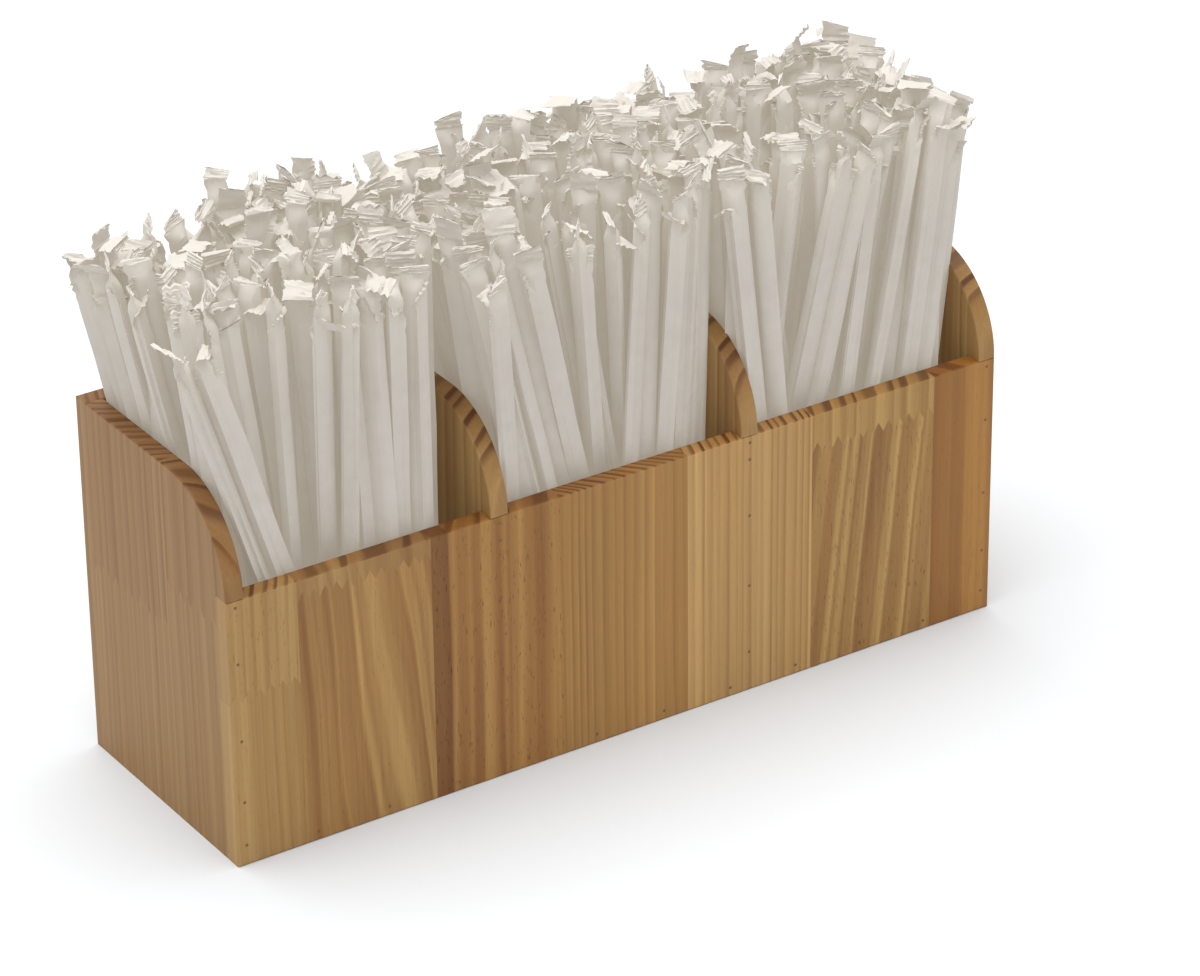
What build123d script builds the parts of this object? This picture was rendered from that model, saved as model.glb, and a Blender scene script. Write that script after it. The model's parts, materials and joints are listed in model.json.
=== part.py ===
from build123d import *
import os
import numpy as np

# A three-compartment pine box that holds paper-wrapped drinking straws upright.
# Millimetres. +X runs to the right along the front, +Y to the back, +Z up.
# The origin is the centre of the box's underside.

os.makedirs("parts", exist_ok=True)

# ---------------------------------------------------------------- driving dimensions
box_length = 406.0
box_depth = 127.0
back_height = 176.0
front_height = 131.0
board = 9.0  # thickness of every board
shoulder_radius = back_height - front_height  # quarter round on ends and dividers
edge_ease = 0.8  # rounding of the sanded edges

# Glue lines between the staves, measured from the left end of a panel.
front_seams = [34.5, 101.5, 168.5, 235.5, 303.5, 371.5]
back_seams = [47.0, 113.0, 181.0, 247.0, 316.0, 379.0]
# Glue lines in the boards that run front to back, measured from the front.
end_seam = 53.3
left_divider_seam = 66.0
right_divider_seam = 74.0
bottom_seam = 64.0

# Finger joints: the stave's number from the left, and the height of the joint.
front_fingers = {1: 83.0, 2: 122.5, 6: 114.0}
back_fingers = {3: 96.0, 6: 58.0}
end_front_finger = 117.0
end_rear_finger = 96.5
finger_depth = 5.0
finger_pitch = 5.5

# Brads
brad_length = 24.0
brad_radius = 0.5
brad_head_radius = 0.75
brad_head_height = 0.7
brad_clearance = 0.03
brad_margin = 2.0  # how far beyond a board's edge a brad's axis may still cut it
end_brad_heights = [10.0, 31.5, 62.0, 100.0, 127.5]  # into the ends, on both panels
divider_brad_heights = [20.0, 54.5, 90.5, 119.0]  # into the dividers, on both panels
front_top_brad_height = 127.5
back_top_brad_height = 162.0
bottom_brad_height = 4.5
first_bottom_brad = 40.4  # from the left end
bottom_brad_pitch = 36.4
bottom_brad_count = 10

# Wrapped straws
straw_length = 216.0
straw_radius = 3.0
straw_wall = 0.3
wrapper_length = 236.0
wrapper_width = 8.8
wrapper_thickness = 7.2
wrapper_bore_clearance = 0.05
crimp_length = 9.9  # from the end of the sleeve to its full thickness
crimp_thickness = 0.8
sleeve_flat_share = 0.30  # half of the flat side's width, as a share of the sleeve's width
straws_per_bundle = 98
straw_gap = 0.25  # between neighbouring sleeves
wall_gap = 0.35  # between a sleeve and the box
draw_out = 240.0  # how far a free straw slides out along its own axis

touching = 0.01  # places closer than this are taken to be the same

# ---------------------------------------------------------------- places worked out
left = -box_length / 2
front = -box_depth / 2
right = -left
back = -front
inner_width = (box_length - 4 * board) / 3
divider_left_faces = [left + board + inner_width, left + 2 * board + 2 * inner_width]
compartment_left_walls = [left + board + k * (inner_width + board) for k in range(3)]
compartment_names = ["left", "middle", "right"]


# ---------------------------------------------------------------- brads
def row_of_brads(top_height):
    """Places of one panel's brads: (x, z) of each."""
    places = []
    ends = [left + board / 2, right - board / 2]
    dividers = [x + board / 2 for x in divider_left_faces]
    for x in ends:
        for z in end_brad_heights + [top_height]:
            places.append((x, z))
    for x in dividers:
        for z in divider_brad_heights + [top_height]:
            places.append((x, z))
    for k in range(bottom_brad_count):
        places.append((left + first_bottom_brad + k * bottom_brad_pitch, bottom_brad_height))
    return sorted(set(places))


front_brads = row_of_brads(front_top_brad_height)
back_brads = row_of_brads(back_top_brad_height)
head_space = brad_head_height + brad_clearance
from_the_mouth = (Align.CENTER, Align.CENTER, Align.MIN)


def drill_brads(x0, x1, y0, y1, z0, z1):
    """Cut, in the open part, the holes of every brad that may cross the box given."""
    for places, face, towards in ((front_brads, front, 1), (back_brads, back, -1)):
        for x, z in places:
            near_x = x0 - brad_margin < x < x1 + brad_margin
            near_z = z0 - brad_margin < z < z1 + brad_margin
            reach = sorted((face, face + towards * brad_length))
            if not (near_x and near_z and y0 < reach[1] and y1 > reach[0]):
                continue
            with Locations(Plane(origin=(x, face, z), z_dir=(0, towards, 0))):
                Cylinder(
                    brad_radius + brad_clearance,
                    brad_length + brad_clearance,
                    align=from_the_mouth,
                    mode=Mode.SUBTRACT,
                )
                Cylinder(
                    brad_head_radius + brad_clearance,
                    head_space,
                    align=from_the_mouth,
                    mode=Mode.SUBTRACT,
                )


with BuildPart() as brad:
    with BuildSketch(Plane.XY):
        Circle(brad_radius)
    extrude(amount=brad_length)
    with BuildSketch(Plane.XY):
        Circle(brad_head_radius)
    extrude(amount=brad_head_height)

for panel_name, places, face, towards in (
    ("front_brads", front_brads, front, 1),
    ("back_brads", back_brads, back, -1),
):
    mouths = [Plane(origin=(x, face, z), z_dir=(0, towards, 0)) for x, z in places]
    brads = Compound(label=panel_name, children=[brad.part.moved(m.location) for m in mouths])
    export_step(brads, "parts/" + panel_name + ".step")


# ---------------------------------------------------------------- boards
def fingers(start, end, height):
    """The zigzag of a finger joint across a stave, from start to end."""
    teeth = max(2, round((end - start) / finger_pitch))
    points = []
    for k in range(2 * teeth + 1):
        side = 0.5 if k % 2 else -0.5
        points.append((start + (end - start) * k / (2 * teeth), height + side * finger_depth))
    return points


def lengths_of(low, high, joint):
    """Split a stave's height range at its finger joint, if it has one."""
    if joint is None:
        return [("", low, high)]
    return [("_lower", low, joint), ("_upper", joint, high)]


def stave_outline(start, end, low, high, joint):
    """Outline of one length of a stave that is straight except at a finger joint."""
    bottom_edge = [(start, low), (end, low)]
    top_edge = [(start, high), (end, high)]
    if joint == low:
        bottom_edge = fingers(start, end, low)
    if joint == high:
        top_edge = fingers(start, end, high)
    return bottom_edge + top_edge[::-1]


def panel_stave(name, number, count, x0, x1, low, high, joint, y0, outer_face):
    """One length of a stave of the front or back panel, and its STEP file."""
    with BuildPart() as stave:
        with BuildSketch(Plane.XZ.offset(-y0)):
            with BuildLine():
                Polyline(*stave_outline(x0, x1, low, high, joint), close=True)
            make_face()
        extrude(amount=-board)
        eased = []
        if joint != high:
            eased += stave.edges().filter_by(Axis.X).group_by(Axis.Z)[-1]
        if joint != low:
            lowest = stave.edges().filter_by(Axis.X).group_by(Axis.Z)[0]
            eased += [e for e in lowest if abs(e.center().Y - outer_face) < touching]
        corner_x = {1: x0, count: x1}.get(number)
        upright = stave.edges().filter_by(Axis.Z)
        eased += [
            e
            for e in upright
            if corner_x is not None
            and abs(e.center().X - corner_x) < touching
            and abs(e.center().Y - outer_face) < touching
        ]
        fillet(eased, radius=edge_ease)
        drill_brads(x0, x1, y0, y0 + board, low, high)
    stave.part.label = name
    export_step(stave.part, "parts/" + name + ".step")


for panel_name, seams, joints, high, y0, outer_face in (
    ("front", front_seams, front_fingers, front_height, front, front),
    ("back", back_seams, back_fingers, back_height, back - board, back),
):
    lines = [left] + [left + s for s in seams] + [right]
    for number, (x0, x1) in enumerate(zip(lines, lines[1:]), start=1):
        joint = joints.get(number)
        for suffix, z0, z1 in lengths_of(0.0, high, joint):
            name = panel_name + "_stave_" + str(number) + suffix
            panel_stave(name, number, len(lines) - 1, x0, x1, z0, z1, joint, y0, outer_face)


def upright_board(name, x0, y0, y1, low, joint, part_of):
    """One stave of an end or a divider: part_of says which length of it, lower, upper or whole."""
    with BuildPart() as stave:
        with BuildSketch(Plane.YZ.offset(x0)):
            with BuildLine():
                if y0 < front + shoulder_radius:
                    # the front stave: quarter-round shoulder that laps over the front panel
                    shoulder_top = (front + shoulder_radius, back_height)
                    lap_tip = (front, front_height)
                    RadiusArc(lap_tip, shoulder_top, shoulder_radius)
                    Polyline(
                        shoulder_top,
                        (y1, back_height),
                        (y1, low),
                        (front + board, low),
                        (front + board, front_height),
                        lap_tip,
                    )
                else:
                    Polyline((y0, low), (y1, low), (y1, back_height), (y0, back_height), close=True)
            make_face()
            if joint is not None:
                teeth = fingers(min(y0, front + board), y1, joint)
                floor_line = [(y1, low), (min(y0, front + board), low)]
                cut = {"_lower": Mode.INTERSECT, "_upper": Mode.SUBTRACT}[part_of]
                with BuildLine():
                    Polyline(*(teeth + floor_line), close=True)
                make_face(mode=cut)
        extrude(amount=board)
        if part_of != "_lower":
            # the crown line that the hand meets is sanded round
            top_edges = [e for e in stave.edges() if e.center().Z > back_height - touching]
            rounds = stave.edges().filter_by(GeomType.CIRCLE)
            crown = [e for e in top_edges if abs(e.tangent_at(0.5).Y) > 0.99] + list(rounds)
            fillet(crown, radius=edge_ease)
        drill_brads(x0, x0 + board, y0, y1, low, back_height)
    stave.part.label = name
    export_step(stave.part, "parts/" + name + ".step")


def cross_board(name, x0, low, seam, front_joint, rear_joint):
    """A board from front to back: two staves, each of one or two finger-jointed lengths."""
    seam_y = front + seam
    for which, y0, y1, joint in (
        ("_front_stave", front + board, seam_y, front_joint),
        ("_rear_stave", seam_y, back - board, rear_joint),
    ):
        for suffix, _, _ in lengths_of(low, back_height, joint):
            upright_board(name + which + suffix, x0, y0, y1, low, joint, suffix)


cross_board("left_end", left, 0.0, end_seam, end_front_finger, end_rear_finger)
cross_board("right_end", right - board, 0.0, box_depth - end_seam, end_rear_finger, None)
cross_board("left_divider", divider_left_faces[0], board, left_divider_seam, None, None)
cross_board("right_divider", divider_left_faces[1], board, right_divider_seam, None, None)

for name, y0, y1 in (
    ("bottom_front_board", front + board, front + bottom_seam),
    ("bottom_rear_board", front + bottom_seam, back - board),
):
    with BuildPart() as base:
        with BuildSketch(Plane.XY):
            with Locations((0, (y0 + y1) / 2)):
                Rectangle(box_length - 2 * board, y1 - y0)
        extrude(amount=board)
        drill_brads(left + board, right - board, y0, y1, 0.0, board)
    base.part.label = name
    export_step(base.part, "parts/" + name + ".step")


# ---------------------------------------------------------------- how the straws stand
# Every wrapped straw is a straight rod from a foot on the bottom panel to a tip above the
# rim. The rods start on a jittered grid with the lean that their part of the compartment
# has. Then they push each other and the walls apart, a little at a time, until all are free.
rod = wrapper_width / 2
off_wall = rod + wall_gap
rod_pitch = wrapper_width + straw_gap
draws = np.random.default_rng(16)
drawn_scale = 1 + draw_out / wrapper_length  # a free straw's path, in straw lengths
stiffness = 0.14  # share of an overlap mended in one turn
shaft_stiffness = 0.6  # the same beside a clear shaft
most_push = 1.5  # in one turn
most_turns = 3000
turns_between_lists = 20  # turns before the list of near pairs is made again
list_margin = 10.0  # how much further apart than the pitch a listed pair may be
settled_overlap = 0.06  # well inside the gap left between sleeves
wall_stations = 50  # places along a rod that are held off the walls
shaft_stations = 12  # and off a clear shaft
grid_density = 1.12  # places to a square of the starting grid
row_stagger = 0.25  # of the grid's pitch, one way and the other in turn
grid_scatter = 0.012
tiny = 1e-9  # keeps a division by nothing away
no_gap = 1e-3  # rods nearer than this are pushed apart sideways

# Sideways lean (run per unit rise) across each compartment, from its left wall to its right.
lean_stations = [0.0, 0.2, 0.4, 0.6, 0.8, 1.0]
side_leans = {
    "left": [-0.27, -0.18, -0.06, 0.01, 0.0, 0.0],
    "middle": [-0.30, -0.27, -0.22, -0.14, 0.03, 0.12],
    "right": [-0.20, -0.08, 0.16, 0.21, 0.14, 0.02],
}
# Front-to-back lean, from the front row to the back row. The front row tips forwards.
depth_stations = [0.0, 0.15, 0.5, 1.0]
depth_leans = [-0.13, 0.0, 0.08, 0.12]
lean_scatter = 0.05
lean_hold = 0.05  # how firmly a straw keeps its lean at first, fading to nothing
free_lean_hold = 0.25  # the same for a straw that stands free
common_lift = 4.0  # straws stand up to this far off the floor, held by their neighbours
rare_lift = 15.0  # and a few stand up to this far off it
rare_share = 0.12

# Straws that stand free in the front row: where each passes the front panel's rim, measured
# from its compartment's left wall and from the inner face of the front panel, and its lean.
free_straws = {
    "left": [((20.0, 5.2), (-0.38, 0.10)), ((31.5, 5.2), (-0.36, 0.07))],
    "middle": [((88.0, 5.4), (0.08, -0.10)), ((100.5, 5.4), (0.10, -0.06))],
    "right": [((12.0, 5.4), (-0.18, 0.0)), ((109.0, 5.4), (0.05, 0.03))],
}
# Clear shaft left in each compartment's front right corner: width across, and depth.
clear_shafts = {"left": (20.0, 17.0), "middle": (9.5, 9.5), "right": (9.5, 9.5)}


def grid_places(count, taken):
    """Spread count places over the unit square, away from the places already taken."""
    rows = int(round(np.sqrt(count / grid_density)))
    places = []
    for row in range(rows + 1):
        across = int(np.ceil(count / (rows + 1)))
        for column in range(across):
            u = (column + (1 - row_stagger if row % 2 else row_stagger)) / across
            v = (row + 0.5) / (rows + 1)
            places.append((u, v))
    places = np.array(places) + draws.normal(0, grid_scatter, (len(places), 2))
    far = [min([np.hypot(*(p - t)) for t in taken], default=1.0) for p in places]
    keep = np.sort(np.argsort(far)[-count:])
    return np.clip(places[keep], 0, 1)


def start_rods():
    """First feet and tips of every straw, its compartment, and whether it stands free."""
    feet, tips, rooms, free = [], [], [], []
    rise_to_tip = wrapper_length - (front_height - board)
    for room, name in enumerate(compartment_names):
        wall = compartment_left_walls[room]
        spots = []
        for (x, y), lean in free_straws[name]:
            spots.append((wall + x, front + board + y, lean, True))
        wide = inner_width - 2 * off_wall
        deep = box_depth - 2 * board - 2 * off_wall
        taken = [((x - off_wall) / wide, 0.0) for (x, _), _ in free_straws[name]]
        taken.append((1.0, 0.0))
        for u, v in grid_places(straws_per_bundle, taken):
            lean = np.array(
                [
                    np.interp(u, lean_stations, side_leans[name]),
                    np.interp(v, depth_stations, depth_leans),
                ]
            )
            lean = lean + draws.normal(0, lean_scatter, 2)
            x = wall + off_wall + u * wide
            y = front + board + off_wall + v * deep
            spots.append((x, y, lean, False))
        for x, y, lean, stands_free in spots:
            rim = np.array([x, y, front_height])
            step = np.array([lean[0], lean[1], 1.0])
            feet.append(rim - step * (front_height - board))
            tips.append(rim + step * rise_to_tip)
            rooms.append(room)
            free.append(stands_free)
    return np.array(feet), np.array(tips), np.array(rooms), np.array(free)


def nearest(a0, a1, b0, b1):
    """Nearest points of segments a and b, as fractions along each, and the gap between."""
    u, v, w = a1 - a0, b1 - b0, a0 - b0
    uu, vv, uv = (u * u).sum(1), (v * v).sum(1), (u * v).sum(1)
    uw, vw = (u * w).sum(1), (v * w).sum(1)
    s = np.clip((uv * vw - uw * vv) / np.maximum(uu * vv - uv * uv, tiny), 0, 1)
    t = np.clip((uv * s + vw) / np.maximum(vv, tiny), 0, 1)
    s = np.clip((uv * t - uw) / np.maximum(uu, tiny), 0, 1)
    gap = a0 + u * s[:, None] - b0 - v * t[:, None]
    return s, t, gap


def stand_up(feet, tips, lifts):
    """Give every rod its full length again, with its foot at its own lift off the floor."""
    along = tips - feet
    along /= np.linalg.norm(along, axis=1)[:, None]
    tilt = np.sqrt(np.maximum(1 - along[:, 2] ** 2, 0))
    feet[:, 2] = board + wall_gap + tilt * rod + lifts
    tips[:] = feet + along * wrapper_length


def wall_height(y):
    """Height of an end or a divider at a depth y."""
    run = np.clip(y - front, 0, shoulder_radius)
    return front_height + np.sqrt(shoulder_radius**2 - (shoulder_radius - run) ** 2)


def shift(feet, tips, which, fraction, move):
    """Move each rod so that its point at the fraction given moves by the vector given."""
    share = (1 - fraction) ** 2 + fraction**2
    np.add.at(feet, which, move * ((1 - fraction) / share)[:, None])
    np.add.at(tips, which, move * (fraction / share)[:, None])


def push_off_walls(feet, tips, rooms):
    """Bring each rod back inside its compartment where it runs below the rim."""
    low = np.array(compartment_left_walls)[rooms] + off_wall
    high = low + inner_width - 2 * off_wall
    near, far = front + board + off_wall, back - board - off_wall
    stations = np.linspace(0, 1, wall_stations)
    points = feet[None] + (tips - feet)[None] * stations[:, None, None]
    x, y, z = points[..., 0], points[..., 1], points[..., 2]
    beside = z < wall_height(y + off_wall) + off_wall
    across = np.where(beside, np.clip(x, low, high) - x, 0)
    inward = np.where(z < front_height + off_wall, np.maximum(near - y, 0), 0)
    inward = inward + np.where(z < back_height + off_wall, np.minimum(far - y, 0), 0)
    which = np.arange(len(feet))
    for side, offset in ((0, across), (1, inward)):
        deepest = np.abs(offset).argmax(axis=0)
        move = np.zeros_like(feet)
        move[:, side] = offset[deepest, which]
        shift(feet, tips, which, stations[deepest], move)
    return max(np.abs(across).max(), np.abs(inward).max())


def push_off_shafts(feet, tips, rooms):
    """Keep the front right corner of each compartment clear, from the floor up."""
    worst = 0.0
    for room, name in enumerate(compartment_names):
        wide, deep = clear_shafts[name]
        corner_x = compartment_left_walls[room] + inner_width
        middle = np.array([corner_x - wide / 2, front + board + deep / 2])
        reach = np.hypot(wide, deep) / 2 + rod
        members = np.flatnonzero(rooms == room)
        for fraction in np.linspace(0, 1, shaft_stations):
            point = feet[members] + (tips[members] - feet[members]) * fraction
            away = point[:, :2] - middle
            gap = np.linalg.norm(away, axis=1)
            hit = gap < reach
            worst = max(worst, (reach - gap[hit]).max(initial=0))
            move = np.zeros((hit.sum(), 3))
            move[:, :2] = away[hit] / gap[hit, None] * (reach - gap[hit])[:, None]
            shift(feet, tips, members[hit], np.full(hit.sum(), fraction), shaft_stiffness * move)
    return worst


def pair_gaps(feet, tips, first, second, reach, flat):
    """Nearest points of each pair of rods. Flat pairs are measured in plan only."""
    a0, b0 = feet[first], feet[second]
    a1 = a0 + (tips[first] - a0) * reach[first][:, None]
    b1 = b0 + (tips[second] - b0) * reach[second][:, None]
    if flat:
        for end in (a0, a1, b0, b1):
            end[:, 2] = 0
    s, t, gap = nearest(a0, a1, b0, b1)
    return s * reach[first], t * reach[second], gap, np.linalg.norm(gap, axis=1)


def push_apart(feet, tips, pushes, first, second, reach, flat):
    """Add to pushes what moves each pair of rods towards the pitch, and say how short it is."""
    s, t, gap, length = pair_gaps(feet, tips, first, second, reach, flat)
    hit = length < rod_pitch
    gap[length < no_gap] = (1.0, 0.0, 0.0)
    short = rod_pitch - length[hit]
    move = gap[hit] / np.maximum(length[hit], no_gap)[:, None] * (stiffness * short)[:, None]
    shift(*pushes, first[hit], s[hit], move)
    shift(*pushes, second[hit], t[hit], -move)
    return short.max(initial=0)


def settle():
    """Relax the rods until no two are nearer than the pitch."""
    feet, tips, rooms, free = start_rods()
    lifts = draws.uniform(0, common_lift, len(feet))
    rare = draws.random(len(feet)) < rare_share
    lifts[rare] = draws.uniform(common_lift, rare_lift, rare.sum())
    lifts[free] = 0
    stand_up(feet, tips, lifts)
    wanted = tips - feet
    own = np.ones(len(feet))
    drawn = np.where(free, drawn_scale, 1.0)
    first, second = np.triu_indices(len(feet), 1)
    same = rooms[first] == rooms[second]
    slides = free[first] | free[second]
    families = [
        (first[same & ~slides], second[same & ~slides], own, False),
        (first[slides], second[slides], drawn, False),
        (first[~same], second[~same], own, True),
    ]
    for turn in range(most_turns):
        if turn % turns_between_lists == 0:
            near = []
            for a, b, reach, flat in families:
                close = pair_gaps(feet, tips, a, b, reach, flat)[3] < rod_pitch + list_margin
                near.append((a[close], b[close], reach, flat))
        pushes = [np.zeros_like(feet), np.zeros_like(feet)]
        worst = push_off_shafts(feet, tips, rooms)
        for a, b, reach, flat in near:
            worst = max(worst, push_apart(feet, tips, pushes, a, b, reach, flat))
        for ends, push in zip((feet, tips), pushes):
            ends += np.clip(push, -most_push, most_push)
        hold = np.where(free, free_lean_hold, lean_hold) * max(0, 1 - 2 * turn / most_turns)
        change = hold[:, None] * (wanted - (tips - feet)) / 2
        tips += change
        feet -= change
        worst = max(worst, push_off_walls(feet, tips, rooms))
        stand_up(feet, tips, lifts)
        if worst < settled_overlap:
            break
    print("straws settled after", turn + 1, "turns, worst overlap left", round(worst, 3))
    return feet, tips, rooms, free


# ---------------------------------------------------------------- wrapped straws
# One sleeve and one straw, upright, with the sleeve's lower end at the origin. The sleeve is
# a flattened hexagon, pinched flat past both ends of the straw.
half_width, half_thickness = wrapper_width / 2, wrapper_thickness / 2
flat_width = sleeve_flat_share * wrapper_width
end_room = (wrapper_length - straw_length) / 2

with BuildPart() as sleeve:
    with BuildSketch(Plane.XY):
        with BuildLine():
            Polyline(
                (half_width, 0),
                (flat_width, half_thickness),
                (-flat_width, half_thickness),
                (-half_width, 0),
                (-flat_width, -half_thickness),
                (flat_width, -half_thickness),
                close=True,
            )
        make_face()
    extrude(amount=wrapper_length)
    with BuildSketch(Plane.YZ):
        with BuildLine():
            Polyline(
                (crimp_thickness / 2, 0),
                (half_thickness, crimp_length),
                (half_thickness, wrapper_length - crimp_length),
                (crimp_thickness / 2, wrapper_length),
                (-crimp_thickness / 2, wrapper_length),
                (-half_thickness, wrapper_length - crimp_length),
                (-half_thickness, crimp_length),
                (-crimp_thickness / 2, 0),
                close=True,
            )
        make_face()
    extrude(amount=half_width, both=True, mode=Mode.INTERSECT)
    with Locations((0, 0, end_room - wrapper_bore_clearance)):
        Cylinder(
            straw_radius + wrapper_bore_clearance,
            straw_length + 2 * wrapper_bore_clearance,
            align=from_the_mouth,
            mode=Mode.SUBTRACT,
        )

with BuildPart() as straw:
    with BuildSketch(Plane.XY.offset(end_room)):
        Circle(straw_radius)
        Circle(straw_radius - straw_wall, mode=Mode.SUBTRACT)
    extrude(amount=straw_length)

feet, tips, rooms, free = settle()
headings = draws.uniform(0, 2 * np.pi, len(feet))


def place_of(k):
    """Where the k-th wrapped straw stands, its flat side turned to its own heading."""
    along = Vector(*(tips[k] - feet[k]))
    flat_side = along.cross(Vector(np.cos(headings[k]), np.sin(headings[k]), 0))
    return Plane(origin=Vector(*feet[k]), x_dir=flat_side, z_dir=along).location


for room, name in enumerate(compartment_names):
    bundle = [place_of(k) for k in np.flatnonzero((rooms == room) & ~free)]
    for piece, kind in ((sleeve, "_bundle_sleeves"), (straw, "_bundle_straws")):
        group = Compound(label=name + kind, children=[piece.part.moved(p) for p in bundle])
        export_step(group, "parts/" + name + kind + ".step")
    for number, k in enumerate(np.flatnonzero((rooms == room) & free), start=1):
        for piece, kind in ((sleeve, "_sleeve"), (straw, "_straw")):
            label = name + "_single_" + str(number) + kind
            single = piece.part.moved(place_of(k))
            single.label = label
            export_step(single, "parts/" + label + ".step")
        along = (tips[k] - feet[k]) / wrapper_length
        print(name, "single", number, "axis", along.round(5), "foot", feet[k].round(3))
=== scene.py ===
import json
import math
import random
import re

import bpy
import numpy as np
from mathutils import Matrix, Vector


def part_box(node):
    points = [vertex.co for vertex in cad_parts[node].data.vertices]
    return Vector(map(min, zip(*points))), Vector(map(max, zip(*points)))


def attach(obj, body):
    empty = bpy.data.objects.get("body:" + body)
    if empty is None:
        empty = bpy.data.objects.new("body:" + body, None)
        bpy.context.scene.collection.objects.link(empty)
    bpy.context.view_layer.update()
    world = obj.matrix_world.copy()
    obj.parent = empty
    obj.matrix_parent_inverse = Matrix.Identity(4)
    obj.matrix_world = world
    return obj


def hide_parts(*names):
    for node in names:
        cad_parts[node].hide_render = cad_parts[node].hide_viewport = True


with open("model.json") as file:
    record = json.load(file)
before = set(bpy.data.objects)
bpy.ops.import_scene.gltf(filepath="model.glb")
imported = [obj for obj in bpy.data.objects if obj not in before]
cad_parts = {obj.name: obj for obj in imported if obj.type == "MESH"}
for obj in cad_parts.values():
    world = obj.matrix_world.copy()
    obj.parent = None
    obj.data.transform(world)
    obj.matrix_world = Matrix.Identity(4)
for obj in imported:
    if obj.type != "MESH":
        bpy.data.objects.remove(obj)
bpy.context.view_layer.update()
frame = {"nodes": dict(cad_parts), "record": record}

# A divided pine box of paper-wrapped drinking straws. Metres, in the frame of the CAD model:
# +X to the right along the front panel, +Y to the back, +Z up, origin under the box's centre.

nodes = frame["nodes"]
MM = 0.001

box_low, box_high = Vector(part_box("front_stave_1_lower")[0]), Vector(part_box("back_stave_7")[1])
box_length = box_high.x - box_low.x
box_depth = box_high.y - box_low.y


# ---------------------------------------------------------------- colour and node helpers
def srgb(red, green, blue):
    """A linear colour from 0-255 display values."""
    return tuple(
        c / 12.92 if c <= 0.04045 else ((c + 0.055) / 1.055) ** 2.4
        for c in (red / 255, green / 255, blue / 255)
    ) + (1.0,)


class Shader:
    """A new material, and short ways to add nodes to it."""

    def __init__(self, name):
        self.material = bpy.data.materials.new(name)
        self.material.use_nodes = True
        self.tree = self.material.node_tree
        self.surface = self.tree.nodes["Principled BSDF"]

    def add(self, kind, inputs=None, **settings):
        node = self.tree.nodes.new("ShaderNode" + kind)
        for key, value in settings.items():
            setattr(node, key, value)
        for key, value in (inputs or {}).items():
            self.set(node, key, value)
        return node

    def set(self, node, key, value):
        if isinstance(value, bpy.types.NodeSocket):
            self.tree.links.new(value, node.inputs[key])
        else:
            node.inputs[key].default_value = value

    def math(self, operation, first, second=0.0, third=0.0):
        node = self.add("Math", {0: first, 1: second, 2: third}, operation=operation)
        return node.outputs[0]

    def vector(self, operation, first, second=(0, 0, 0)):
        node = self.add("VectorMath", {0: first, 1: second}, operation=operation)
        return node.outputs["Value" if operation == "LENGTH" else "Vector"]

    def ramp(self, value, stops):
        """A smooth curve of grey through (place, level) stops."""
        node = self.add("ValToRGB", {0: value})
        band = node.color_ramp
        while len(band.elements) < len(stops):
            band.elements.new(0.5)
        for element, (place, level) in zip(band.elements, stops):
            element.position = place
            element.color = (level, level, level, 1)
        return node.outputs["Color"]

    def mix(self, factor, first, second, blend="MIX"):
        node = self.add("Mix", data_type="RGBA", blend_type=blend)
        self.set(node, "Factor", factor)
        self.set(node, 6, first)
        self.set(node, 7, second)
        return node.outputs[2]

    def noise(self, coordinates, scale, detail=2.0, roughness=0.5):
        inputs = {"Vector": coordinates, "Scale": scale, "Detail": detail, "Roughness": roughness}
        return self.add("TexNoise", inputs).outputs["Fac"]


# ---------------------------------------------------------------- pine
# How fine each pattern is, per metre across the grain (x and y) and along it (z).
WANDER_SCALE = (16, 16, 3.2)
FIBRE_SCALE = (1000, 1000, 16)
STRAND_SCALE = (360, 360, 5)
FLECK_SCALE = (1300, 1300, 240)
TONE_SCALE = (30, 30, 5)
UNEVEN_YEARS = 60.0  # per metre out from the pith
BROAD_BANDS = 105.0
UNEVEN_RINGS = 2.6  # how many rings the uneven years stray by
WARM_TINT = (0.86, 0.76, 0.62, 1.0)
SOAKED_TINT = (0.74, 0.64, 0.54, 1.0)  # what the lacquer does to end grain

# Curves of (place, level) stops. The first two run over one year, from early wood to late.
RING_ON_FACES = [(0.0, 0.0), (0.20, 0.15), (0.55, 0.45), (0.82, 1.0), (0.92, 0.6), (1.0, 0.0)]
RING_ON_ENDS = [(0.0, 0.0), (0.48, 0.0), (0.68, 1.0), (0.90, 1.0), (1.0, 0.0)]
FLECK_CURVE = [(0.0, 0.0), (0.64, 0.0), (0.76, 1.0)]
BROAD_CURVE = [(0.42, 0.0), (0.56, 1.0)]
WARM_CURVE = [(0.3, 0.0), (0.75, 0.55)]
STREAK_EDGE = [(0.44, 1.0), (0.52, 0.0)]  # over the distance from the middle, in widths
END_GRAIN = [(0.25, 0.0), (0.75, 1.0)]  # over how far the face looks up or down


def darker(colour, share):
    """A colour at a share of its brightness."""
    return tuple(c * share for c in colour[:3]) + (1.0,)


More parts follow.
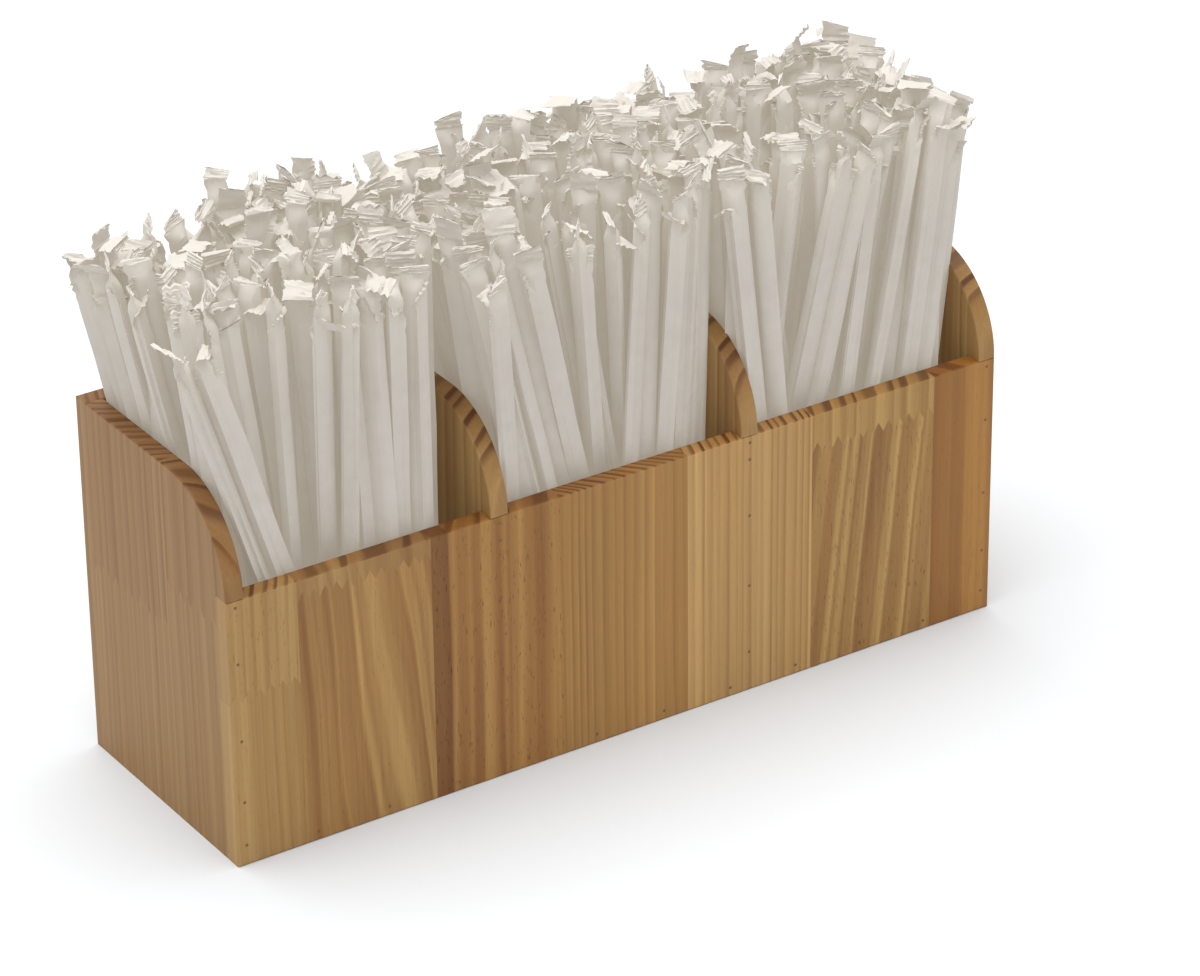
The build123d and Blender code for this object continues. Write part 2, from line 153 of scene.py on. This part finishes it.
def pine(
    name,
    light,
    dark,
    pith,
    spacing,
    contrast=0.7,
    waver=0.004,
    lean=0.0,
    seed=0.0,
    streak=None,
    flecks=0.25,
    bands=0.35,
):
    """Satin-lacquered pine, sawn from a log whose upright pith is at the (x, y) given.

    Growth rings are cylinders round the pith, so faces show lines or bands and the top edges
    show the ends of the same rings. spacing is the ring width. bands is how strongly broad,
    uneven bands of darker years show. streak is (x, width, strength) of a dark resin streak.
    """
    s = Shader(name)
    place = s.add("TexCoord").outputs["Object"]
    place = s.vector("ADD", place, (0.0, 0.0, seed))
    slow = s.vector("MULTIPLY", place, WANDER_SCALE)
    wander = s.add("TexNoise", {"Vector": slow, "Scale": 1.0, "Detail": 2.0}).outputs["Color"]
    wander = s.vector("SUBTRACT", wander, (0.5, 0.5, 0.5))
    wander = s.vector("MULTIPLY", wander, (waver * 2.2, waver * 2.2, 0))
    warped = s.vector("ADD", place, wander)
    split = s.add("SeparateXYZ", {0: warped})
    leaned = s.math("MULTIPLY_ADD", split.outputs["Z"], lean, split.outputs["X"])
    flat = s.add("CombineXYZ", {"X": leaned, "Y": split.outputs["Y"], "Z": 0.0}).outputs[0]
    radius = s.vector("LENGTH", s.vector("SUBTRACT", flat, (pith[0], pith[1], 0)))
    # ring widths come and go over the years
    years = s.add("CombineXYZ", {"X": radius, "Y": seed, "Z": 0.0}).outputs[0]
    uneven = s.noise(years, UNEVEN_YEARS, detail=1.0)
    phase = s.math("MULTIPLY_ADD", uneven, UNEVEN_RINGS, s.math("DIVIDE", radius, spacing))
    ring = s.math("FRACT", phase)
    late = s.ramp(ring, RING_ON_FACES)
    year = s.add("TexWhiteNoise", {"W": s.math("FLOOR", phase)}, noise_dimensions="1D")
    strength = s.math("MULTIPLY_ADD", year.outputs["Value"], 0.55, 0.55)
    late = s.math("MULTIPLY", late, s.math("MULTIPLY", strength, contrast))

    # fibres, long flecks of resin, and slow changes of tone
    fibre = s.noise(s.vector("MULTIPLY", place, FIBRE_SCALE), 1.0, detail=3.0, roughness=0.6)
    fleck = s.noise(s.vector("MULTIPLY", place, FLECK_SCALE), 1.0, detail=1.0)
    fleck = s.ramp(fleck, FLECK_CURVE)
    tone = s.noise(s.vector("MULTIPLY", place, TONE_SCALE), 1.0, detail=2.0)
    strands = s.noise(s.vector("MULTIPLY", warped, STRAND_SCALE), 1.0, detail=2.0)
    broad = s.ramp(s.noise(years, BROAD_BANDS, detail=2.0), BROAD_CURVE)
    broad = s.math("MULTIPLY", broad, s.math("MULTIPLY_ADD", strands, 0.8, 0.6))
    colour = s.mix(s.math("MULTIPLY", broad, bands), light, dark)
    colour = s.mix(late, colour, dark)
    warm = tuple(a * b for a, b in zip(light, WARM_TINT))
    colour = s.mix(s.ramp(tone, WARM_CURVE), colour, warm)
    colour = s.mix(s.math("MULTIPLY", fleck, flecks), colour, dark)
    if streak:
        centre, width, strength = streak
        away = s.math("ABSOLUTE", s.math("SUBTRACT", split.outputs["X"], centre))
        inside = s.ramp(s.math("DIVIDE", away, width), STREAK_EDGE)
        colour = s.mix(s.math("MULTIPLY", inside, strength), colour, resin_red)
        sticky = s.math("MULTIPLY", fleck, s.math("MULTIPLY_ADD", inside, 0.7, 0.2))
        colour = s.mix(sticky, colour, darker(resin_red, 0.5))
    shade = s.math("MULTIPLY_ADD", fibre, 0.40, 0.68)
    shade = s.math("MULTIPLY_ADD", strands, 0.24, shade)
    grey = s.add("CombineColor", {0: shade, 1: shade, 2: shade}).outputs[0]
    colour = s.mix(1.0, colour, grey, blend="MULTIPLY")

    # end grain drinks the lacquer and goes darker, rings and all
    facing = s.add("SeparateXYZ", {0: s.add("TexCoord").outputs["Normal"]}).outputs["Z"]
    ends = s.ramp(s.math("ABSOLUTE", facing), END_GRAIN)
    soaked = s.mix(1.0, colour, SOAKED_TINT, blend="MULTIPLY")
    lines = s.ramp(ring, RING_ON_ENDS)
    lines = s.math("MULTIPLY", lines, s.math("MULTIPLY", strength, 0.9))
    banded = s.mix(lines, soaked, darker(ring_brown, 0.55))
    colour = s.mix(ends, colour, banded)
    s.set(s.surface, "Base Color", colour)
    s.set(s.surface, "Roughness", s.math("MULTIPLY_ADD", fibre, 0.16, 0.42))
    s.surface.inputs["Specular IOR Level"].default_value = 0.32
    s.surface.inputs["Coat Weight"].default_value = 0.04
    s.surface.inputs["Coat Roughness"].default_value = 0.35
    bump = s.add("Bump", {"Strength": 0.18, "Distance": 0.0004, "Height": fibre})
    s.set(s.surface, "Normal", bump.outputs["Normal"])
    return s.material


honey = srgb(171, 139, 87)
straw_yellow = srgb(182, 147, 88)
wheat = srgb(177, 140, 83)
amber = srgb(174, 134, 76)
russet = srgb(170, 129, 70)
rosy = srgb(151, 118, 71)
ring_brown = srgb(112, 64, 20)
ring_soft = srgb(126, 84, 36)
resin_red = srgb(106, 62, 22)
tawny = srgb(168, 121, 58)
pale = srgb(195, 159, 103)


def middle(name):
    low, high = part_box(name)
    return (Vector(low) + Vector(high)) / 2


painted = set()


def cover(node, material):
    """Give a CAD node one material in place of its own."""
    node.data.materials.clear()
    node.data.materials.append(material)


def paint(name, **look):
    """Give a wooden CAD node its own pine."""
    cover(nodes[name], pine("pine " + name.replace("_", " "), **look))
    painted.add(name)


def beside(name, away, in_depth):
    """The place of a log's pith: near the stave its face shows bands, far off straight lines."""
    centre = middle(name)
    return (centre.x + away, centre.y + in_depth)


def front_stave(which, light, dark, away, in_depth, **look):
    """Paint one stave of the front panel, with its pith away to one side and behind the face."""
    name = "front_stave_" + which
    paint(name, light=light, dark=dark, pith=beside(name, away, in_depth), **look)


RESIN_STREAK = (box_low.x + 0.1063, 0.0115, 0.72)  # its middle, width and strength

# The front panel, stave by stave.
front_stave("1_lower", honey, ring_soft, 0.2, 0.08, spacing=0.0058, contrast=0.6, seed=1.3)
front_stave("1_upper", honey, ring_soft, -0.16, 0.1, spacing=0.0044, contrast=0.6, seed=2.1, flecks=0.5)
front_stave("2_lower", wheat, ring_brown, -0.09, 0.07,
            spacing=0.0175, contrast=1.0, waver=0.018, lean=0.08, seed=3.4, bands=0.55)
front_stave("2_upper", honey, ring_brown, -0.12, 0.06,
            spacing=0.0150, contrast=0.6, waver=0.016, lean=0.08, seed=4.9, bands=0.5)
front_stave("3", russet, ring_brown, -0.20, 0.12,
            spacing=0.0092, contrast=0.6, waver=0.005, seed=5.2, streak=RESIN_STREAK, flecks=0.6, bands=0.8)
front_stave("4", amber, ring_soft, 0.18, 0.17,
            spacing=0.0036, contrast=0.72, waver=0.003, seed=6.7, flecks=0.15)
front_stave("5", pale, ring_soft, -0.28, 0.09,
            spacing=0.0044, contrast=0.7, waver=0.002, seed=7.5, flecks=0.15)
front_stave("6_lower", straw_yellow, ring_brown, -0.22, 0.10,
            spacing=0.0085, contrast=0.8, waver=0.006, lean=-0.10, seed=8.8, flecks=0.6, bands=0.65)
front_stave("6_upper", straw_yellow, ring_soft, -0.24, 0.11, spacing=0.0082, contrast=0.75, seed=9.6)
front_stave("7", tawny, ring_brown, 0.10, 0.06,
            spacing=0.0105, contrast=0.5, waver=0.004, seed=10.3, bands=0.5)

# The left end, and the shoulders of the dividers and the right end.
paint("left_end_front_stave_lower", light=rosy, dark=ring_soft, pith=(box_low.x + 0.02, -0.25),
      spacing=0.0052, contrast=0.8, seed=11.1)
paint("left_end_front_stave_upper", light=rosy, dark=ring_brown, pith=(box_low.x - 0.06, -0.16),
      spacing=0.0085, contrast=0.75, waver=0.008, seed=12.6)
paint("left_end_rear_stave_lower", light=rosy, dark=ring_soft, pith=(box_low.x + 0.05, 0.28),
      spacing=0.0046, contrast=0.7, seed=13.2)
paint("left_end_rear_stave_upper", light=rosy, dark=ring_brown, pith=(box_low.x + 0.08, 0.16),
      spacing=0.0060, contrast=0.7, waver=0.006, seed=14.8)
for number, name in enumerate(("left_divider_front_stave", "right_divider_front_stave",
                               "right_end_front_stave_upper", "right_end_front_stave_lower")):
    centre = middle(name)
    paint(name, light=honey, dark=ring_brown, pith=(centre.x + 0.05, centre.y - 0.11 - 0.02 * number),
          spacing=0.0078 + 0.0009 * number, contrast=0.6, waver=0.008, seed=15.5 + number)


def seeded_look(name):
    """A look drawn from the stave's name, for the staves at the back, inside and underneath."""
    draw = random.Random(name)
    light = draw.choice([honey, straw_yellow, amber, rosy])
    dark = draw.choice([ring_soft, ring_brown, ring_brown])
    side = draw.choice([-1, 1])
    low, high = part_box(name)
    thin_in_x = high[0] - low[0] < high[1] - low[1]
    far = draw.uniform(0.16, 0.30) if draw.random() < 0.6 else draw.uniform(0.04, 0.07)
    centre = middle(name)
    if thin_in_x:
        pith = (centre.x + 0.3 * far, centre.y + side * far)
    else:
        pith = (centre.x + side * far, centre.y + 0.2 * far + 0.02)
    return dict(
        light=light,
        dark=dark,
        pith=pith,
        spacing=draw.uniform(0.0030, 0.0058),
        contrast=draw.uniform(0.55, 0.85),
        waver=draw.uniform(0.003, 0.008),
        seed=draw.uniform(20, 60),
    )


wooden = re.compile(r"stave|board")
for name in sorted(nodes):
    if wooden.search(name) and name not in painted:
        paint(name, **seeded_look(name))


# ---------------------------------------------------------------- brads
def brad_metal():
    s = Shader("brad steel")
    place = s.add("TexCoord").outputs["Object"]
    rust = s.noise(place, 900.0)
    s.set(s.surface, "Base Color", s.mix(rust, srgb(106, 74, 42), srgb(126, 90, 54)))
    s.set(s.surface, "Roughness", s.math("MULTIPLY_ADD", rust, 0.3, 0.4))
    s.surface.inputs["Metallic"].default_value = 0.15
    return s.material


metal = brad_metal()
for name in ("front_brads", "back_brads"):
    cover(nodes[name], metal)


# ---------------------------------------------------------------- straws and their sleeves
def straw_plastic():
    s = Shader("straw plastic")
    place = s.add("TexCoord").outputs["Object"]
    cloudy = s.noise(place, 260.0)
    s.set(s.surface, "Base Color", s.mix(cloudy, srgb(242, 241, 238), srgb(249, 249, 247)))
    s.set(s.surface, "Roughness", s.math("MULTIPLY_ADD", cloudy, 0.1, 0.3))
    return s.material


PAPER_DULL, PAPER_CLEAR = srgb(156, 153, 151), srgb(163, 160, 158)
PULP_GREY = srgb(144, 139, 134)
# painted light: a lighter paper colour for the tops, standing in for the light from above that falls there
PAPER_PAINTED_LIT_TOP = srgb(169, 166, 161)
PAINTED_LIGHT_UPWARDS = [(0.205, 0.0), (0.235, 0.8)]  # over the height in metres
PAPER_GLOW = (1.0, 0.885, 0.70, 1.0)
PAPER_GLOW_STRENGTH = 0.22


def sleeve_paper():
    s = Shader("sleeve paper")
    place = s.add("TexCoord").outputs["Object"]
    cloudy = s.noise(place, 140.0, detail=3.0)
    pulp = s.noise(place, 2600.0, detail=2.0)
    colour = s.mix(s.ramp(cloudy, [(0.3, 0.0), (0.7, 1.0)]), PAPER_DULL, PAPER_CLEAR)
    colour = s.mix(s.math("MULTIPLY", pulp, 0.06), colour, PULP_GREY)
    # painted light: the paper is coloured lighter towards the top of the bundle, where light from above
    # falls on the crimped tops
    height = s.add("SeparateXYZ", {0: place}).outputs["Z"]
    colour = s.mix(s.ramp(height, PAINTED_LIGHT_UPWARDS), colour, PAPER_PAINTED_LIT_TOP)
    s.set(s.surface, "Base Color", colour)
    s.set(s.surface, "Roughness", s.math("MULTIPLY_ADD", cloudy, 0.12, 0.62))
    s.surface.inputs["Specular IOR Level"].default_value = 0.1
    rough = s.noise(place, 700.0, detail=3.0)
    bump = s.add("Bump", {"Strength": 0.12, "Distance": 0.0003, "Height": rough})
    s.set(s.surface, "Normal", bump.outputs["Normal"])
    # stands for the light that thin paper passes from sleeve to sleeve, deep in the bundle
    s.surface.inputs["Emission Color"].default_value = PAPER_GLOW
    s.surface.inputs["Emission Strength"].default_value = PAPER_GLOW_STRENGTH
    return s.material


plastic, paper = straw_plastic(), sleeve_paper()

SLEEVE_LENGTH = 236 * MM
STRAW_START = 10 * MM  # from the sleeve's end to the straw inside
STRAW_TOP = SLEEVE_LENGTH - STRAW_START
BODY_WIDTH = 11.0 * MM
BODY_THICKNESS = 7.3 * MM
FLAT_WIDTH = 12.4 * MM
FLAT_THICKNESS = 0.35 * MM
FLAP_OVER = 8 * MM  # how much longer the loose top flap is than the CAD sleeve
FOLD_BELOW_TOP = (4.0 * MM, 8.0 * MM)
FOLD_LENGTH = (0.8 * MM, 2.2 * MM)
PLEATS = [0.15, 0.5, 0.8, 1.0]  # how steeply, in radians, the flap zigzags
FLAP_CURL = 40  # radians per metre, either way
SECTION_STRAY = 0.05  # how far a cross-section's points stray, as a share of its half width
CRUMPLE = 0.30 * MM  # how far each point of the flattened top strays
SLACK = 0.035  # how far the body's width wavers, as a share
RAGGED = 0.06  # how far the flattened top's width wavers, as a share
BODY_TWIST = 0.06  # radians over the whole sleeve
LOOSE_TWIST = 0.18  # radians, at the top of a sleeve that isn't twisted
SKEW = 0.35  # how far off square a flap's end is cut, as a slope
TEETH = (0.5, 0.9)  # millimetres, on one sleeve in three
CREASE_ANGLE = math.radians(38)

# The tops come in three styles: standing up, folded over, and twisted round.
STANDING_SHARE = 0.62
FOLDED_SHARE = 0.30
STANDING_SHORTER = 2.5 * MM
STANDING_BEND = (0.0, 0.7)
FOLDED_BEND = (1.1, 2.2)
TWISTED_BEND = (0.6, 1.4)
TOP_TWIST = (0.6, 1.2)

# Half of a cross-section, as shares of the half width and half thickness, crease to crease.
half_section = [(1.0, 0.0), (0.76, 0.36), (0.44, 0.82), (0.0, 1.0), (-0.44, 0.82), (-0.76, 0.36)]
section = np.array(half_section + [(-x, -y) for x, y in half_section])


def loose_parts(obj):
    """The separate pieces of a mesh, each as an array of its merged corner points."""
    points = np.array([v.co for v in obj.data.vertices])
    keys, corner = np.unique(points.round(6), axis=0, return_inverse=True)
    corner = corner.ravel()
    parent = np.arange(len(keys))

    def root(k):
        while parent[k] != k:
            parent[k] = parent[parent[k]]
            k = parent[k]
        return k

    for a, b in ((e.vertices[0], e.vertices[1]) for e in obj.data.edges):
        parent[root(corner[a])] = root(corner[b])
    roots = np.array([root(k) for k in range(len(keys))])
    parts = [keys[roots == r] for r in np.unique(roots)]
    return sorted(parts, key=lambda p: tuple(p.mean(axis=0).round(5)))


def straw_lines(sleeves):
    """Foot, direction and flat side of every sleeve in a CAD node."""
    lines = []
    for part in loose_parts(sleeves):
        centre = part.mean(axis=0)
        along = np.linalg.svd(part - centre)[2][0]
        along *= np.sign(along[2])
        reach = (part - centre) @ along
        ends = [part[reach > reach.max() - MM], part[reach < reach.min() + MM]]
        tip, foot = (end.mean(axis=0) for end in ends)
        along = (tip - foot) / np.linalg.norm(tip - foot)
        radial = part - foot - np.outer((part - foot) @ along, along)
        widest = radial[np.linalg.norm(radial, axis=1).argmax()]
        lines.append((foot, along, widest / np.linalg.norm(widest)))
    return lines


def spine(draw, top_bend, fold_at, fold_length, flap_end, pleat):
    """Stations up the sleeve, and the middle line's heading and (y, z) place at each of them."""
    fold_end = fold_at + fold_length
    foot = [0.0, 2.5 * MM, 5 * MM, STRAW_START]
    body = np.linspace(STRAW_START + 3 * MM, STRAW_TOP - 9 * MM, 9)
    crown = np.linspace(STRAW_TOP - 6 * MM, fold_at, 5)
    fold = np.linspace(fold_at, fold_end, 4)[1:]
    flap = np.linspace(fold_end, flap_end, 8)[1:]
    stations = np.concatenate([foot, body, crown, fold, flap])
    turn = np.clip((stations - fold_at) / fold_length, 0, 1)
    past_fold = np.maximum(stations - fold_end, 0)
    heading = top_bend * turn + draw.uniform(-FLAP_CURL, FLAP_CURL) * past_fold
    y, z = np.zeros(len(stations)), np.zeros(len(stations))
    for k in range(1, len(stations)):
        step = stations[k] - stations[k - 1]
        along = (heading[k] + heading[k - 1]) / 2
        if stations[k] > fold_at:
            along += pleat * draw.uniform(0.4, 1.2) * (1 if k % 2 else -1)
        y[k] = y[k - 1] + step * math.sin(along)
        z[k] = z[k - 1] + step * math.cos(along)
    return stations, heading, y, z


def top_style(draw):
    """Draw how a sleeve's top ends: its bend, its twist and where its flap ends."""
    style = draw.random()
    side = draw.choice([-1, 1])
    flap_end = SLEEVE_LENGTH + draw.uniform(0, FLAP_OVER)
    twisted = style >= STANDING_SHARE + FOLDED_SHARE
    if style < STANDING_SHARE:
        bend = side * draw.uniform(*STANDING_BEND)
        flap_end -= STANDING_SHORTER
    else:
        bend = side * draw.uniform(*(TWISTED_BEND if twisted else FOLDED_BEND))
    twist = draw.choice([-1, 1]) * draw.uniform(*TOP_TWIST) if twisted else draw.gauss(0, LOOSE_TWIST)
    return bend, twist, flap_end


def flatness(stations):
    """How flat the sleeve is pressed at each station, 0 to 1, and the top end's part of that."""
    low = np.clip((STRAW_START + 1 * MM - stations) / (7 * MM), 0, 1)
    top = np.clip((stations - STRAW_TOP + 2 * MM) / (5 * MM), 0, 1)
    flat = np.maximum(low, top)
    return flat * flat * (3 - 2 * flat), top


def sleeve_points(draw):
    """Rings of points of one paper sleeve, upright, with its lower end at the origin."""
    fold_at = SLEEVE_LENGTH - draw.uniform(*FOLD_BELOW_TOP)
    fold_length = draw.uniform(*FOLD_LENGTH)
    bend, twist_top, flap_end = top_style(draw)
    stations, heading, y, z = spine(draw, bend, fold_at, fold_length, flap_end, draw.choice(PLEATS))
    flat, flat_top = flatness(stations)
    slack = SLACK * np.array([draw.gauss(0, 1) for _ in stations]) * (1 - flat)
    ragged = 1 + RAGGED * flat_top * np.array([draw.gauss(0, 1) for _ in stations])
    width = BODY_WIDTH * (1 + slack) * (1 - flat) + FLAT_WIDTH * flat * ragged
    thick = BODY_THICKNESS * (1 - slack) * (1 - flat) + FLAT_THICKNESS * flat
    twist = draw.gauss(0, BODY_TWIST) * stations / SLEEVE_LENGTH
    twist = twist + twist_top * np.clip((stations - STRAW_TOP) / (9 * MM), 0, 1)
    skew = draw.uniform(-SKEW, SKEW)
    teeth = draw.choice([0, 0, 1]) * draw.uniform(*TEETH) * MM
    strays = [[draw.gauss(0, SECTION_STRAY), draw.gauss(0, SECTION_STRAY)] for _ in section]
    shape = section + np.array(strays)
    saw = np.where(np.arange(len(section)) % 2, 1.0, -1.0)
    wrinkle = np.random.default_rng(draw.getrandbits(32))
    fold_end = fold_at + fold_length
    rings = []
    for k, s in enumerate(stations):
        half = wrinkle.normal(0, 1, (len(half_section), 2))
        crumple = CRUMPLE * np.clip((s - STRAW_TOP + 7 * MM) / (9 * MM), 0, 1)
        stray = np.vstack([half, half[::-1]]) * crumple
        across = shape[:, 0] * width[k] / 2 + stray[:, 0]
        out = shape[:, 1] * thick[k] / 2 + stray[:, 1]
        # the flap's end is cut askew, and on some sleeves in teeth
        last = (s - fold_end) / max(flap_end - fold_end, MM)
        along = (skew * across + teeth * saw) * max(last - 0.5, 0) * 2
        c, d = math.cos(twist[k]), math.sin(twist[k])
        turned_x = across * c - out * d
        turned_y = across * d + out * c
        tilt = heading[k]
        ring_y = y[k] + turned_y * math.cos(tilt) + along * math.sin(tilt)
        ring_z = z[k] - turned_y * math.sin(tilt) + along * math.cos(tilt)
        rings.append(np.stack([turned_x, ring_y, ring_z], axis=1))
    return np.array(rings)


def sleeve_faces(rings, around):
    """Quads between rings, and a cap on each end, numbered from the sleeve's first point."""
    faces = []
    for k in range(rings - 1):
        for j in range(around):
            nxt = (j + 1) % around
            faces.append((k * around + j, k * around + nxt, (k + 1) * around + nxt, (k + 1) * around + j))
    faces.append(tuple(range(around))[::-1])
    faces.append(tuple((rings - 1) * around + j for j in range(around)))
    return faces


def paper_sleeves(cad_name, body):
    """Crumple-ended paper sleeves in place of a CAD node's plain ones."""
    points, faces = [], []
    first = 0
    for number, (foot, along, widest) in enumerate(straw_lines(nodes[cad_name])):
        rings = sleeve_points(random.Random(cad_name + str(number)))
        depthwise = np.cross(along, widest)
        flat = rings.reshape(-1, 3)
        points.append(foot + flat[:, :1] * widest + flat[:, 1:2] * depthwise + flat[:, 2:] * along)
        faces += [tuple(first + i for i in f) for f in sleeve_faces(rings.shape[0], rings.shape[1])]
        first += len(flat)
    mesh = bpy.data.meshes.new(cad_name + "_paper")
    mesh.from_pydata(np.vstack(points).tolist(), [], faces)
    mesh.validate()
    mesh.materials.append(paper)
    mesh.shade_smooth()
    mesh.set_sharp_from_angle(angle=CREASE_ANGLE)
    piece = bpy.data.objects.new(cad_name + "_paper", mesh)
    bpy.context.scene.collection.objects.link(piece)
    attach(piece, body)
    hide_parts(cad_name)


body_of_node = {n: b for b, members in frame["record"]["behaviour"]["bodies"].items() for n in members}
for name in sorted(nodes):
    if name.endswith(("_sleeves", "_sleeve")):
        paper_sleeves(name, body_of_node[name])
    elif name.endswith(("_straws", "_straw")):
        cover(nodes[name], plastic)


# ---------------------------------------------------------------- floor, light and camera
FLOOR_SIZE = 60
FLOOR_GREYS = ((0.617, 0.630, 0.645, 1), (0.627, 0.640, 0.655, 1))
WORLD_STRENGTH = 0.77
SOFTBOX_PLACE = Vector((-0.2, 0.2, 2.8))
SOFTBOX_SIZE = 3.2
SOFTBOX_WATTS = 121
LIT_POINT = Vector((0, 0, 0.12))


def floor_white():
    s = Shader("floor white")
    place = s.add("TexCoord").outputs["Object"]
    faint = s.noise(place, 2.0)
    s.set(s.surface, "Base Color", s.mix(faint, *FLOOR_GREYS))
    s.surface.inputs["Roughness"].default_value = 0.9
    s.surface.inputs["Specular IOR Level"].default_value = 0.1
    return s.material


bpy.ops.mesh.primitive_plane_add(size=FLOOR_SIZE)
floor = bpy.context.object
floor.name = "floor"
floor.data.materials.append(floor_white())

scene = bpy.context.scene
scene.view_settings.view_transform = "Standard"
world = bpy.data.worlds.new("studio")
world.use_nodes = True
background = world.node_tree.nodes["Background"]
background.inputs["Color"].default_value = (1.0, 1.0, 1.0, 1.0)
background.inputs["Strength"].default_value = WORLD_STRENGTH
scene.world = world

softbox = bpy.data.lights.new("key", "AREA")
softbox.size = SOFTBOX_SIZE
softbox.energy = SOFTBOX_WATTS
lamp = bpy.data.objects.new("key", softbox)
lamp.location = SOFTBOX_PLACE
lamp.rotation_euler = (LIT_POINT - SOFTBOX_PLACE).to_track_quat("-Z", "Y").to_euler()
scene.collection.objects.link(lamp)

CAMERA_AZIMUTH = math.radians(-33.25)
CAMERA_ELEVATION = math.radians(28.17)
CAMERA_ROLL = math.radians(-0.63)
CAMERA_LENS = 157.67  # millimetres, on the sensor below
CAMERA_SENSOR = 36.0
CAMERA_FROM_CORNER = Vector((-0.9245, -1.6983, 1.2165))  # of the box, front left, on the floor
sin_a, cos_a = math.sin(CAMERA_AZIMUTH), math.cos(CAMERA_AZIMUTH)
sin_e, cos_e = math.sin(CAMERA_ELEVATION), math.cos(CAMERA_ELEVATION)
backwards = Vector((sin_a * cos_e, -cos_a * cos_e, sin_e))
level = Vector((0, 0, 1)).cross(backwards).normalized()
upwards = backwards.cross(level)
rolled = math.cos(CAMERA_ROLL) * level + math.sin(CAMERA_ROLL) * upwards
upwards = math.cos(CAMERA_ROLL) * upwards - math.sin(CAMERA_ROLL) * level
lens = bpy.data.cameras.new("camera")
lens.lens = CAMERA_LENS
lens.sensor_width = CAMERA_SENSOR
camera = bpy.data.objects.new("camera", lens)
corner = Vector((-box_length / 2, -box_depth / 2, 0))
turn = Matrix((rolled, upwards, backwards)).transposed()
camera.matrix_world = Matrix.Translation(corner + CAMERA_FROM_CORNER) @ turn.to_4x4()
scene.collection.objects.link(camera)
scene.camera = camera
